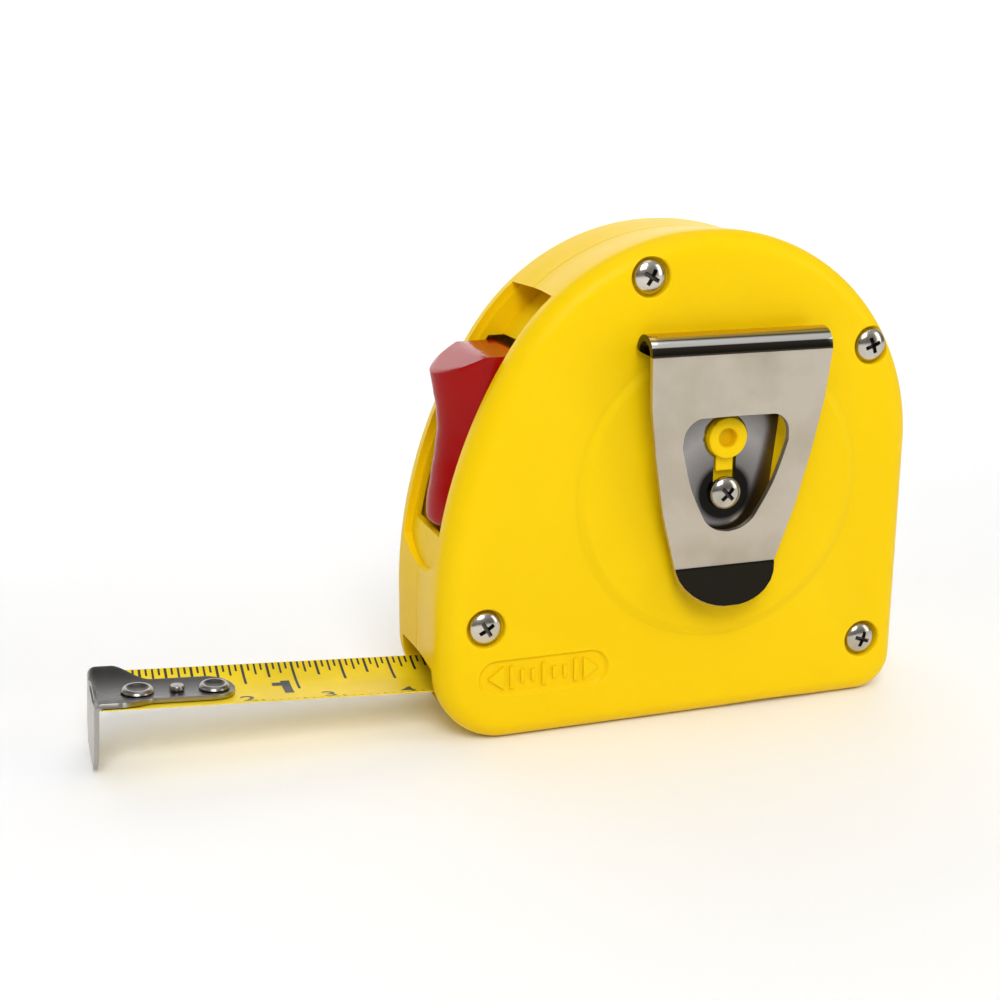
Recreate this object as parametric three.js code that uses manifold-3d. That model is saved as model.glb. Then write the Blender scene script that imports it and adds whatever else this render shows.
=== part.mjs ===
// Pocket tape measure with a 1/2 in steel blade, a rocker lock and a spring belt clip.
// Millimetres, +Z up. The blade leaves the case towards -X, the belt clip is on the -Y side.
// Every piece is drawn in case coordinates: x from the nose, z from the base, y from the blade's
// centre line. The whole object is then shifted so that x = 0 is the middle of the case.
import * as THREE from 'three';
import { mergeVertices } from 'three/addons/utils/BufferGeometryUtils.js';
import Module from 'manifold-3d';

const wasm = await Module();
wasm.setup();

// ---- case ----
const case_length = 63.5;
const case_height = 62;
const case_thickness = 21.8;
const side_wall = 1.8;
const rim_wall = 1.8;
const face_fillet = 2.8;
const nose_height = 14.7;        // top of the short upright stretch of the nose
const toe_radius = 8.6;          // undercut below the mouth
const rear_corner_radius = 5;
const rear_arch_radius = 28;
const top_front_radius = 29.5;
const top_flat = 0.7;
const parting_y = 0.8;           // the clip side shell reaches just past the centre line
const parting_gap = 0.3;
const running_gap = 0.3;
const seat_gap = 0.05;           // between flat faces that rest on each other
const chord = 1.7;               // facet length on the case outline

// ---- blade and hook ----
const blade_width = 12.7;
const blade_thickness = 0.15;
const blade_camber = 1.2;
const blade_out = 40.3;         // from the nose to the hook's outer face
const blade_tail = 13;           // length of the straight blade behind the nose
const blade_pitch = THREE.MathUtils.degToRad(3.84);
const mouth_blade_height = 6.17; // height of the blade's edges at the nose
const mouth_low = 3.2;
const mouth_high = 9.1;
const mouth_clearance = 0.65;
const hook_thickness = 0.6;
const hook_seat = 0.15;          // gap between the hook's plate and the blade
const hook_drop = 8.3;
const hook_plate_length = 17.2;
const hook_wide_length = 3.2;
const hook_tongue_half = 3.3;
const hook_float = 0.8;
const rivet_shank_radius = 0.7;
const rivet_head_height = 0.45;

// ---- reel ----
const spindle_from_rear = 27.2;
const spindle_height = 30.1;
const coil_radius = 19.5;
const drum_radius = 12;
const drum_wall = 1.4;
const drum_half_width = 7.2;
const web_thickness = 1;
const bearing_radius = 4.6;
const arbor_radius = 3.1;
const disc_radius = 18.8;
const disc_thickness = 0.3;
const spring_turns = 6;
const spring_thickness = 0.3;
const spring_half_width = 5.6;
const feed_thickness = 0.3;

// ---- fasteners ----
const screw_head_radius = 2.1;
const screw_head_height = 1.3;
const screw_shank_radius = 0.95;
const screw_length = 15;
const counterbore_radius = 2.55;
const counterbore_depth = 1.1;
const post_radius = 2.6;
const top_screw = { edge: 3.8, angle: 109 };     // edge is measured in from the outline
const arch_screw = { edge: 2.9, angle: 31.5 };
const rear_screw = { from_rear: 5.4, height: 7.8 };
const front_screw = { from_nose: 5.9, height: 15.1 };
const clip_screw_length = 12;

// ---- lock ----
const slot_half_width = 6.7;
const slot_low = 25.2;
const slot_high = 53.4;
const trough_low = 48;           // above this height the slot has a closed floor
const trough_depth = 3.4;
const trough_wall = 0.8;
const scoop_low = 20.4;
const scoop_high = 57.4;
const scoop_end_radius = 12;     // the shallow curve of the scoop's two ends
const scoop_depth = 1;
const lock_pivot = { x: 11.5, z: 36.7 };
const pin_radius = 1;
const lock_crown = 2.4;          // how far the thumb face falls back at its sides
const lock_reach = 9.2;          // from the pivot forward to the lip
const arm_half = 4.4;            // half width of the arm behind the brake pad
const pad_thickness = 2;
const pad_height = 5;

// ---- belt clip ----
const clip_thickness = 0.8;
const clip_depth = 4.9;          // outside of the fold
const clip_half_width = 11.8;
const clip_fold_height = 48.1;   // where the fold starts
const clip_crease_height = 21;
const clip_tip_height = 16.2;
const clip_flare = 2.2;
const clip_crease_gap = 0.4;
const clip_back_low = 25.1;      // lower end of the leaf against the case
const anchor_height = 37.1;      // moulded post that stops the clip turning
const anchor_radius = 2.6;
const anchor_hole_radius = 1.3;
const anchor_reach = 1.7;
const anchor_rib_half = 1.2;
const side_pad_radius = 19.2;
const side_pad_height = 0.4;

// ---- small features ----
const badge = { x: 13.4, z: 8.45, length: 16.8, height: 4.5, depth: 0.4 };
const scallop = { x: 45, depth: 0.7, length: 20, from_face: 3 };
const mouth_pad = { length: 3.8, height: 0.85 };
const label_radius = 20;
const label_thickness = 0.3;
const label_recess = 0.4;

// ---- derived places ----
const half = case_thickness / 2;
const inner_half = half - side_wall;
const spindle_x = case_length - spindle_from_rear;
const rear_arch = { x: case_length - rear_arch_radius, z: case_height - rear_arch_radius };
const top_arch = { x: rear_arch.x - top_flat, z: case_height - top_front_radius };
const rise = top_arch.z - nose_height;
const front_radius = (top_arch.x ** 2 + rise ** 2 - top_front_radius ** 2)
  / (2 * (top_arch.x - top_front_radius));
const join_angle = Math.atan2(rise, top_arch.x - front_radius);
const pad_face = -half - side_pad_height;
const clip_back_y = pad_face - seat_gap;
const blade_slope = Math.tan(blade_pitch);

// ---- solids ----
function solid(geometry) {
  geometry.deleteAttribute('normal');
  geometry.deleteAttribute('uv');
  const merged = mergeVertices(geometry, 1e-5);
  const mesh = new wasm.Mesh({
    numProp: 3,
    vertProperties: new Float32Array(merged.attributes.position.array),
    triVerts: new Uint32Array(merged.index.array),
  });
  mesh.merge();
  return new wasm.Manifold(mesh);
}

function asGeometry(body) {
  const mesh = body.getMesh();
  const geometry = new THREE.BufferGeometry();
  const places = new Float32Array(mesh.numVert * 3);
  for (let i = 0; i < mesh.numVert; i += 1) {
    for (let k = 0; k < 3; k += 1) {
      places[3 * i + k] = mesh.vertProperties[mesh.numProp * i + k];
    }
  }
  geometry.setAttribute('position', new THREE.BufferAttribute(places, 3));
  geometry.setIndex(new THREE.BufferAttribute(new Uint32Array(mesh.triVerts), 1));
  geometry.computeVertexNormals();
  return geometry;
}

function box(x0, x1, y0, y1, z0, z1) {
  const geometry = new THREE.BoxGeometry(x1 - x0, y1 - y0, z1 - z0);
  geometry.translate((x0 + x1) / 2, (y0 + y1) / 2, (z0 + z1) / 2);
  return solid(geometry);
}

function shapeOf(points) {
  return new THREE.Shape(points.map(([u, v]) => new THREE.Vector2(u, v)));
}

// An outline in x and z, pushed along y from y0 to y1.
function prismY(points, y0, y1, options = {}) {
  const geometry = new THREE.ExtrudeGeometry(shapeOf(points), {
    depth: y1 - y0, bevelEnabled: false, ...options,
  });
  geometry.rotateX(Math.PI / 2);
  geometry.translate(0, y1, 0);
  return solid(geometry);
}

// An outline in y and z, pushed along x from x0 to x1.
function prismX(points, x0, x1) {
  const geometry = new THREE.ExtrudeGeometry(shapeOf(points), { depth: x1 - x0, bevelEnabled: false });
  const turn = new THREE.Matrix4().makeBasis(
    new THREE.Vector3(0, 1, 0),
    new THREE.Vector3(0, 0, 1),
    new THREE.Vector3(1, 0, 0),
  );
  geometry.applyMatrix4(turn);
  geometry.translate(x0, 0, 0);
  return solid(geometry);
}

// An outline in x and y, pushed along z from z0 to z1.
function prismZ(points, z0, z1) {
  const geometry = new THREE.ExtrudeGeometry(shapeOf(points), { depth: z1 - z0, bevelEnabled: false });
  geometry.translate(0, 0, z0);
  return solid(geometry);
}

function rod(x, z, radius, y0, y1, segments = 28) {
  const geometry = new THREE.CylinderGeometry(radius, radius, y1 - y0, segments);
  geometry.translate(x, (y0 + y1) / 2, z);
  return solid(geometry);
}

function ring(x, z, inner, outer, y0, y1, segments = 48) {
  const profile = [[inner, y0], [outer, y0], [outer, y1], [inner, y1], [inner, y0]];
  const geometry = new THREE.LatheGeometry(
    profile.map(([r, y]) => new THREE.Vector2(r, y)),
    segments,
  );
  geometry.translate(x, 0, z);
  return solid(geometry);
}

function arc(cx, cz, radius, from, to, step = chord) {
  const count = Math.max(3, Math.ceil((Math.abs(to - from) * radius) / step));
  const points = [];
  for (let i = 0; i <= count; i += 1) {
    const angle = from + ((to - from) * i) / count;
    points.push([cx + radius * Math.cos(angle), cz + radius * Math.sin(angle)]);
  }
  return points;
}

// A rounded slot outline between two centres on a level line.
function roundedSlot(cx, cz, length, height) {
  const r = height / 2;
  const reach = length / 2 - r;
  return [
    ...arc(cx + reach, cz, r, -Math.PI / 2, Math.PI / 2, 0.7),
    ...arc(cx - reach, cz, r, Math.PI / 2, 1.5 * Math.PI, 0.7),
  ];
}

function part(name, body, color, roughness, metalness) {
  const material = new THREE.MeshStandardMaterial({ color, roughness, metalness });
  const mesh = new THREE.Mesh(asGeometry(body), material);
  mesh.name = name;
  return mesh;
}

const yellow = 0xf5d21e;
const red = 0xb8140c;
const nickel = 0xb9b4a8;
const steel = 0xa8a39b;
const black = 0x1c1c1c;

// ---- case outline ----
// The D-shaped side view, drawn inwards by an inset. All arcs keep their centres.
function outline(inset) {
  const right = -Math.PI / 2;
  return [
    ...arc(case_length - rear_corner_radius, rear_corner_radius,
      rear_corner_radius - inset, right, 0, 1.2),
    ...arc(rear_arch.x, rear_arch.z, rear_arch_radius - inset, 0, Math.PI / 2),
    ...arc(top_arch.x, top_arch.z, top_front_radius - inset, Math.PI / 2, join_angle),
    ...arc(front_radius, nose_height, front_radius - inset, join_angle, Math.PI).slice(1),
    ...arc(toe_radius, toe_radius, toe_radius - inset, Math.PI, 1.5 * Math.PI, 1.4),
  ];
}

function roundedBlock(inset, half_width, fillet, segments) {
  return prismY(outline(inset), -half_width + fillet, half_width - fillet, {
    bevelEnabled: true,
    bevelThickness: fillet,
    bevelSize: fillet,
    bevelOffset: -fillet,
    bevelSegments: segments,
  });
}

function archPoint(arch, radius, screw) {
  const angle = THREE.MathUtils.degToRad(screw.angle);
  return {
    x: arch.x + (radius - screw.edge) * Math.cos(angle),
    z: arch.z + (radius - screw.edge) * Math.sin(angle),
  };
}

const case_screws = [
  archPoint(top_arch, top_front_radius, top_screw),
  archPoint(rear_arch, rear_arch_radius, arch_screw),
  { x: case_length - rear_screw.from_rear, z: rear_screw.height },
  { x: front_screw.from_nose, z: front_screw.height },
];

// The shallow racetrack that surrounds the lock, cut into the front of the rim.
function lockScoop() {
  const r = slot_half_width;
  const end = scoop_end_radius;
  const sweep = Math.asin(r / end);
  const track = [
    ...arc(0, scoop_low + end, end, 1.5 * Math.PI - sweep, 1.5 * Math.PI + sweep, 1.8),
    ...arc(0, scoop_high - end, end, Math.PI / 2 - sweep, Math.PI / 2 + sweep, 1.8),
  ];
  const skin = prismY(outline(-2), -r - 1, r + 1).subtract(prismY(outline(scoop_depth), -r - 2, r + 2));
  const front = box(-5, top_arch.x - 10, -r, r, scoop_low - 2, scoop_high);
  return skin.intersect(prismX(track, -5, top_arch.x)).intersect(front);
}

function lockSlot() {
  const w = slot_half_width;
  const deep = box(-3, 22, -w, w, slot_low, trough_low + 0.1);
  const shallow = box(-3, 22, -w, w, trough_low, slot_high);
  return deep.add(shallow.subtract(prismY(outline(trough_depth), -w - 1, w + 1)));
}

// The walls and floor that close the upper end of the slot.
function slotTrough() {
  const w = slot_half_width + trough_wall;
  const band = prismY(outline(0.5), -w, w).subtract(prismY(outline(trough_depth + trough_wall), -w - 1, w + 1));
  return band.intersect(box(2, 24, -w - 1, w + 1, trough_low, slot_high + trough_wall));
}

function edgeScallop(side) {
  const drop = 8;
  const radius = (scallop.length ** 2) / (8 * scallop.depth);
  const outer = side * (half + 1);
  const inner = side * (half - scallop.from_face);
  const low = Math.min(outer, inner);
  const high = Math.max(outer, inner);
  const sweep = Math.asin(scallop.length / 2 / radius);
  const points = [
    [scallop.x - scallop.length / 2, -drop],
    [scallop.x + scallop.length / 2, -drop],
    ...arc(scallop.x, scallop.depth - radius, radius, Math.PI / 2 - sweep, Math.PI / 2 + sweep, 2.5),
  ];
  return prismY(points, low, high);
}

function wholeCase() {
  const ribs_inner = inner_half + 0.2;
  let body = roundedBlock(0, half, face_fillet, 4);
  body = body.subtract(roundedBlock(rim_wall, inner_half, 1.5, 2));
  body = body.add(slotTrough()).subtract(lockScoop()).subtract(lockSlot());
  body = body.subtract(edgeScallop(-1)).subtract(edgeScallop(1));
  body = body.add(rod(spindle_x, spindle_height, side_pad_radius, pad_face, -half + 0.5, 64));
  for (const at of case_screws) {
    body = body.add(rod(at.x, at.z, post_radius, -ribs_inner, ribs_inner, 20));
  }
  for (const side of [-1, 1]) {
    const low = side < 0 ? -ribs_inner : drum_half_width - seat_gap;
    const high = side < 0 ? -drum_half_width + seat_gap : ribs_inner;
    body = body.add(rod(spindle_x, spindle_height, bearing_radius, low, high));
    const pin_low = side < 0 ? -ribs_inner : slot_half_width;
    const pin_high = side < 0 ? -slot_half_width : ribs_inner;
    body = body.add(rod(lock_pivot.x, lock_pivot.z, pin_radius + 1.6, pin_low, pin_high, 20));
  }
  const pin_bore = inner_half - 0.2;
  body = body.subtract(rod(lock_pivot.x, lock_pivot.z, pin_radius + running_gap, -pin_bore, pin_bore, 20));
  const arbor_bore = inner_half + 0.4;
  body = body.subtract(rod(spindle_x, spindle_height, arbor_radius + running_gap, -arbor_bore, arbor_bore));
  const mouth_half = blade_width / 2 + mouth_clearance;
  body = body.subtract(box(-1, toe_radius, -mouth_half, mouth_half, mouth_low, mouth_high));
  body = body.subtract(prismY(roundedSlot(badge.x, badge.z, badge.length, badge.height),
    -half - 1, -half + badge.depth));
  body = body.subtract(rod(spindle_x, spindle_height, label_radius + running_gap,
    half - label_recess, half + 1, 64));
  return body;
}

const whole_case = wholeCase();

function clipSideShell() {
  let body = whole_case.intersect(box(-10, case_length + 10, -2 * half, parting_y - parting_gap / 2,
    -10, case_height + 10));
  for (const at of case_screws) {
    body = body.subtract(rod(at.x, at.z, counterbore_radius, -half - 2, -half + counterbore_depth));
    body = body.subtract(rod(at.x, at.z, screw_shank_radius + running_gap, -half, half, 16));
  }
  body = body.add(rod(spindle_x, anchor_height, anchor_radius, pad_face - anchor_reach, -half));
  body = body.add(box(spindle_x - anchor_rib_half, spindle_x + anchor_rib_half, pad_face - clip_thickness, -half,
    spindle_height + screw_head_radius + 0.6, anchor_height));
  body = body.subtract(rod(spindle_x, anchor_height, anchor_hole_radius,
    pad_face - anchor_reach - 1, pad_face - anchor_reach + 2, 20));
  return body.subtract(rod(spindle_x, spindle_height, screw_shank_radius + running_gap,
    pad_face - 1, 0, 16));
}

function plainSideShell() {
  let body = whole_case.intersect(box(-10, case_length + 10, parting_y + parting_gap / 2, 2 * half,
    -10, case_height + 10));
  const pilot_end = -half + counterbore_depth + screw_length + 0.5;
  for (const at of case_screws) {
    body = body.subtract(rod(at.x, at.z, screw_shank_radius + running_gap, 0, pilot_end, 16));
  }
  return body;
}

// ---- screws ----
// A cross-recessed pan head on a plain shank. The head's underside is at y, the shank runs to +y.
function panScrew(x, y, z, length, turn) {
  const r = screw_head_radius;
  const h = screw_head_height;
  const s = screw_shank_radius;
  const profile = [
    [0, length], [s * 0.5, length], [s, length - 0.8], [s, 0], [r, 0],
    [r, -h * 0.35], [r * 0.86, -h * 0.75], [r * 0.5, -h * 0.96], [0, -h],
  ];
  const geometry = new THREE.LatheGeometry(profile.map(([a, b]) => new THREE.Vector2(a, b)).reverse(), 24);
  let body = solid(geometry);
  const arm = r * 0.62;
  const slot = 0.28;
  const deep = 0.8;
  for (const quarter of [0, Math.PI / 2]) {
    const cutter = new THREE.BoxGeometry(2 * arm, deep * 2, 2 * slot);
    cutter.rotateY(turn + quarter);
    cutter.translate(0, -h, 0);
    body = body.subtract(solid(cutter));
  }
  return body.translate([x, y, z]);
}

// ---- reel ----
function reelDrum() {
  const w = drum_half_width;
  const shell = ring(spindle_x, spindle_height, drum_radius - drum_wall, drum_radius, -w, w, 56);
  const web = ring(spindle_x, spindle_height, bearing_radius + running_gap, drum_radius, w,
    w + web_thickness, 56);
  return shell.add(web);
}

function drumCover() {
  const w = drum_half_width;
  return ring(spindle_x, spindle_height, bearing_radius + running_gap, drum_radius,
    -w - web_thickness, -w - seat_gap, 56);
}

function windingDisc(side) {
  const near = blade_width / 2 + running_gap;
  const low = side < 0 ? -near - disc_thickness : near;
  return ring(spindle_x, spindle_height, drum_radius + running_gap, disc_radius, low, low + disc_thickness, 56);
}

function bladeCoil() {
  return ring(spindle_x, spindle_height, drum_radius + running_gap, coil_radius,
    -blade_width / 2, blade_width / 2, 72);
}

function springStrip() {
  const inner = arbor_radius + running_gap + spring_thickness;
  const outer = drum_radius - drum_wall - running_gap - spring_thickness;
  const steps = spring_turns * 22;
  const side = (offset) => {
    const points = [];
    for (let i = 0; i <= steps; i += 1) {
      const angle = (i / steps) * spring_turns * 2 * Math.PI;
      const r = inner + ((outer - inner) * i) / steps + offset;
      points.push([spindle_x + r * Math.cos(angle), spindle_height + r * Math.sin(angle)]);
    }
    return points;
  };
  const half_thick = spring_thickness / 2;
  return prismY([...side(half_thick), ...side(-half_thick).reverse()], -spring_half_width, spring_half_width);
}

function springArbor() {
  const end = inner_half + 0.1;
  const slot = 0.5;
  let body = rod(spindle_x, spindle_height, arbor_radius, -end, end, 28);
  body = body.subtract(rod(spindle_x, spindle_height, screw_shank_radius + running_gap, -end - 1, 4, 16));
  return body.subtract(box(spindle_x, spindle_x + arbor_radius + 1, -spring_half_width - 0.4,
    spring_half_width + 0.4, spindle_height - slot, spindle_height + slot));
}

// The curved blade between the back of the coil and the straight blade near the mouth.
function bladeFeed() {
  const start = spindle_x + coil_radius + running_gap + feed_thickness;
  const level = mouth_blade_height - blade_slope * (blade_tail + running_gap) - blade_camber;
  const curve = new THREE.CubicBezierCurve(
    new THREE.Vector2(start, spindle_height),
    new THREE.Vector2(start, level + 1),
    new THREE.Vector2(blade_tail + 26, level - blade_slope * 26),
    new THREE.Vector2(blade_tail + running_gap, level),
  );
  const inside = [];
  const outside = [];
  const count = 26;
  for (let i = 0; i <= count; i += 1) {
    const at = curve.getPoint(i / count);
    const along = curve.getTangent(i / count);
    const reach = feed_thickness / 2;
    inside.push([at.x + along.y * reach, at.y - along.x * reach]);
    outside.push([at.x - along.y * reach, at.y + along.x * reach]);
  }
  return prismY([...inside, ...outside.reverse()], -blade_width / 2, blade_width / 2);
}

// ---- blade and hook, drawn level with x = 0 at the nose and z = 0 at the blade's edges ----
function bladeSection(base, thick, half_width, count) {
  const lower = [];
  const upper = [];
  for (let i = 0; i <= count; i += 1) {
    const y = half_width * ((2 * i) / count - 1);
    const sag = blade_camber * ((2 * y / blade_width) ** 2 - 1);
    lower.push([y, sag + base]);
    upper.push([y, sag + base + thick]);
  }
  return [...lower, ...upper.reverse()];
}

const hook_front = -blade_out / Math.cos(blade_pitch);
const blade_end = hook_front + hook_thickness + running_gap;
const rivets = [
  { name: 'hook_rivet_front', at: -blade_out + 5.4, head: 2 },
  { name: 'hook_rivet_middle', at: -blade_out + 10.1, head: 0.95 },
  { name: 'hook_rivet_rear', at: -blade_out + 14.6, head: 1.9 },
];

function straightBlade() {
  const section = bladeSection(-blade_thickness, blade_thickness, blade_width / 2, 10);
  let body = prismX(section, blade_end, blade_tail);
  for (const rivet of rivets) {
    const bore = new THREE.CylinderGeometry(rivet_shank_radius + 0.2, rivet_shank_radius + 0.2, 4, 16);
    bore.rotateX(Math.PI / 2);
    bore.translate(rivet.at, 0, 0);
    body = body.subtract(solid(bore));
  }
  return body;
}

function tapeHook() {
  const front = hook_front;
  const w = blade_width / 2;
  const t = hook_tongue_half;
  const shoulder = front + hook_wide_length;
  const tip = front + hook_plate_length;
  const plan = [
    [front, -w], [shoulder, -w], [shoulder + 2.6, -t - 0.8], [shoulder + 4.4, -t], [tip - t, -t],
    ...arc(tip - t, 0, t, -Math.PI / 2, Math.PI / 2, 1.2).slice(1, -1),
    [tip - t, t], [shoulder + 4.4, t], [shoulder + 2.6, t + 0.8], [shoulder, w], [front, w],
  ];
  const section = bladeSection(hook_seat, hook_thickness, w, 10);
  let body = prismX(section, front, tip + 1).intersect(prismZ(plan, -3, 3));
  const leg = prismX([
    [-w, hook_seat + hook_thickness], [-w, -hook_drop + 2.5], [-w + 2, -hook_drop],
    [w - 2, -hook_drop], [w, -hook_drop + 2.5], [w, hook_seat + hook_thickness],
  ].reverse(), 0, hook_thickness);
  const leg_top = prismX([[-w, 0], [w, 0], [w, 2], [-w, 2]], -1, 2);
  const over_plate = prismX(bladeSection(hook_seat + hook_thickness, 3, w + 1, 10), -2, 2);
  const upright = leg.subtract(leg_top.intersect(over_plate));
  body = body.add(upright.translate([front, 0, 0]));
  for (const rivet of rivets) {
    const reach = rivet_shank_radius + running_gap;
    const slot = roundedSlot(rivet.at + hook_float / 2, 0, 2 * reach + hook_float, 2 * reach);
    body = body.subtract(prismZ(slot, -3, 3));
  }
  return body;
}

// A rivet's shank stands in the blade. Its upper head holds the hook, its lower head is under the blade.
function hookRivet(at, head) {
  const top = -blade_camber + hook_seat + hook_thickness + 0.25;
  const crown = [[0, top + rivet_head_height], [head * 0.7, top + rivet_head_height * 0.8], [head, top]];
  const foot = -blade_camber - blade_thickness - 0.15;
  const foot_radius = head * 0.8;
  const profile = [
    ...crown, [rivet_shank_radius, top], [rivet_shank_radius, foot],
    [foot_radius, foot], [foot_radius, foot - 0.3], [0, foot - 0.3],
  ];
  const geometry = new THREE.LatheGeometry(profile.map(([r, z]) => new THREE.Vector2(r, z)).reverse(), 24);
  geometry.rotateX(Math.PI / 2);
  geometry.translate(at, 0, 0);
  return solid(geometry);
}

// ---- lock ----
// The rocker's side view: a thumb face with a standing upper lip, a hub on the pin and an arm
// that carries the brake pad.
function lockButton() {
  const p = lock_pivot;
  const thumb = [
    [-9.2, 7.2], [-8.9, 5.9], [-8.5, 3.9], [-8.3, 1.6], [-8.6, -1.2], [-9.2, -4.5], [-9.7, -8],
    [-9.9, -9.8], [-9.4, -10.7], [-6.6, -10.7],
  ];
  const arm = [[-5, -12.8], [-2.5, -13.1], [2.5, -13.1], [3.4, -12], [2.9, -7.6], [1.6, -6]];
  const hub = [[2.3, -2.2], [2.9, 0], [2.4, 2.4]];
  const crown = [[2, 8], [1.7, 10.2], [0.4, 10.8], [-1.9, 10.8], [-4.3, 10], [-6.8, 8.8], [-8.6, 7.8]];
  const profile = [...thumb, ...arm, ...hub, ...crown].map(([x, z]) => [p.x + x, p.z + z]);
  const width = 2 * (slot_half_width - 0.4);
  const geometry = new THREE.ExtrudeGeometry(shapeOf(profile.slice().reverse()), {
    depth: width, bevelEnabled: false, steps: 12,
  });
  geometry.rotateX(Math.PI / 2);
  geometry.translate(0, width / 2, 0);
  const place = geometry.attributes.position;
  for (let i = 0; i < place.count; i += 1) {
    const x = place.getX(i);
    const across = Math.min(1, Math.abs(place.getY(i)) / (width / 2));
    const front = THREE.MathUtils.clamp((p.x - x) / lock_reach, 0, 1);
    place.setX(i, x + lock_crown * front * (1 - Math.sqrt(1 - 0.98 * across ** 2)));
  }
  let body = solid(geometry);
  body = body.subtract(rod(p.x, p.z, pin_radius + running_gap, -10, 10, 20));
  for (const side of [-1, 1]) {
    const low = side < 0 ? -arm_half - 10 : arm_half;
    body = body.subtract(box(p.x - 1.5, p.x + 10, low, low + 10, p.z - 20, p.z - 6));
  }
  return body;
}

function brakePad() {
  const front = lock_pivot.x + 3.6;
  const low = lock_pivot.z - 12.8;
  const grip = arm_half - 0.2;
  const block = box(front, front + pad_thickness + 2, -grip, grip, low, low + pad_height);
  return block.subtract(rod(spindle_x, spindle_height, coil_radius + running_gap, -10, 10, 96));
}

function pivotPin() {
  return rod(lock_pivot.x, lock_pivot.z, pin_radius, -inner_half + 0.5, inner_half - 0.5, 20);
}

function detentSpring() {
  const t = 0.3;
  const bend = [[2.6, 7.2], [2.7, 9], [5.5, 10.8], [11, 13.2], [12.6, 13.2]]
    .map(([x, z]) => [lock_pivot.x + x, lock_pivot.z + z]);
  const back = bend.map(([x, z]) => [x + t, z - t * 0.6]).reverse();
  return prismY([...bend, ...back].reverse(), -2.5, 2.5);
}

// ---- belt clip ----
// The two halves of the folded strip in y and z. They meet at the top of the fold.
function clipStrips() {
  const t = clip_thickness;
  const fold = clip_depth / 2;
  const mid_y = clip_back_y - fold;
  const top = Math.PI / 2;
  const crease_y = clip_back_y - t - clip_crease_gap - t;
  const tip_y = crease_y - clip_flare;
  const bend = (radius, from, to) => arc(mid_y, clip_fold_height, radius, from, to, 0.7);
  const back = [
    [clip_back_y, clip_back_low], ...bend(fold, 0, top),
    ...bend(fold - t, top, 0), [clip_back_y - t, clip_back_low],
  ];
  const front = [
    ...bend(fold, top, Math.PI), [crease_y, clip_crease_height], [tip_y, clip_tip_height],
    [tip_y + t, clip_tip_height], [crease_y + t, clip_crease_height], ...bend(fold - t, Math.PI, top),
  ];
  return { back, front };
}

function mirrored(points) {
  return [...points, ...points.slice().reverse().map(([x, z]) => [-x, z])];
}

function beltClip() {
  const w = clip_half_width;
  const reach = w + 3;
  const strips = clipStrips();
  const deep = clip_back_y - clip_depth - 8;
  const behind = clip_back_y - clip_thickness - clip_crease_gap / 2;
  const at = (points) => points.map(([x, z]) => [x + spindle_x, z]);
  const tip_half = 6.8;
  const back_half = 9;
  const tip_drop = clip_crease_height - clip_tip_height;
  const tip = arc(0, 0, 1, -Math.PI / 2, 0, 0.2)
    .map(([c, s]) => [c * tip_half, clip_crease_height + s * tip_drop]);
  const front_outline = mirrored([
    ...tip.slice(1), [8.9, 28.2], [10.4, 35.5], [11.4, 41.9], [w, clip_fold_height],
    [w, clip_fold_height + clip_depth],
  ]);
  const back_outline = mirrored([
    ...arc(0, clip_back_low + 5.6, 5.6, -Math.PI / 2, 0, 1.2).slice(1), [6.4, 38.7],
    [back_half, clip_fold_height - 2], [back_half, clip_fold_height], [w, clip_fold_height + 0.8],
    [w, clip_fold_height + clip_depth],
  ]);
  const window = mirrored([
    ...arc(0, 29.7, 4.2, -Math.PI / 2, -0.35, 1).slice(1), [5.6, 31.7], [6.9, 36.1], [7, 37.5], [6.3, 39.5],
    [5.1, 40.3],
  ]);
  const front = prismX(strips.front, spindle_x - reach, spindle_x + reach)
    .intersect(prismY(at(front_outline), deep, 0))
    .subtract(prismY(at(window), deep, 0));
  const back = prismX(strips.back, spindle_x - reach, spindle_x + reach)
    .intersect(prismY(at(back_outline), deep, 0));
  const slot = anchor_rib_half + running_gap;
  return front.add(back)
    .subtract(rod(spindle_x, anchor_height, anchor_radius + running_gap, behind, 0))
    .subtract(box(spindle_x - slot, spindle_x + slot, behind, 0, spindle_height, anchor_height))
    .subtract(rod(spindle_x, spindle_height, slot, behind, 0, 20));
}

// ---- small pieces ----
function sideLabel() {
  const low = half - label_recess + seat_gap;
  return rod(spindle_x, spindle_height, label_radius, low, low + label_thickness, 64);
}

// Low felt pad on the case floor that the blade runs over just behind the mouth.
function mouthPad() {
  const front = toe_radius;
  const floor = rim_wall + seat_gap;
  return box(front, front + mouth_pad.length, -blade_width / 2, blade_width / 2, floor, floor + mouth_pad.height);
}

// ---- assembly ----
const group = new THREE.Group();
group.position.x = -case_length / 2;

group.add(part('clip_side_shell', clipSideShell(), yellow, 0.35, 0));
group.add(part('plain_side_shell', plainSideShell(), yellow, 0.35, 0));
case_screws.forEach((at, i) => {
  const under_head = -half + counterbore_depth - seat_gap;
  const body = panScrew(at.x, under_head, at.z, screw_length, 0.5 + i * 0.7);
  group.add(part(`case_screw_${i + 1}`, body, nickel, 0.3, 1));
});

group.add(part('belt_clip', beltClip(), steel, 0.3, 1));
group.add(part('clip_screw', panScrew(spindle_x, clip_back_y - clip_thickness - seat_gap,
  spindle_height, clip_screw_length, 0.8), nickel, 0.3, 1));

group.add(part('spring_arbor', springArbor(), steel, 0.4, 1));
group.add(part('power_spring', springStrip(), 0x55585c, 0.35, 1));
group.add(part('reel_drum', reelDrum(), black, 0.5, 0));
group.add(part('drum_cover', drumCover(), black, 0.5, 0));
group.add(part('winding_disc_clip_side', windingDisc(-1), 0xe8e6df, 0.5, 0));
group.add(part('winding_disc_plain_side', windingDisc(1), 0xe8e6df, 0.5, 0));
group.add(part('blade_coil', bladeCoil(), yellow, 0.4, 0));
group.add(part('blade_feed', bladeFeed(), yellow, 0.4, 0));

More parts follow.
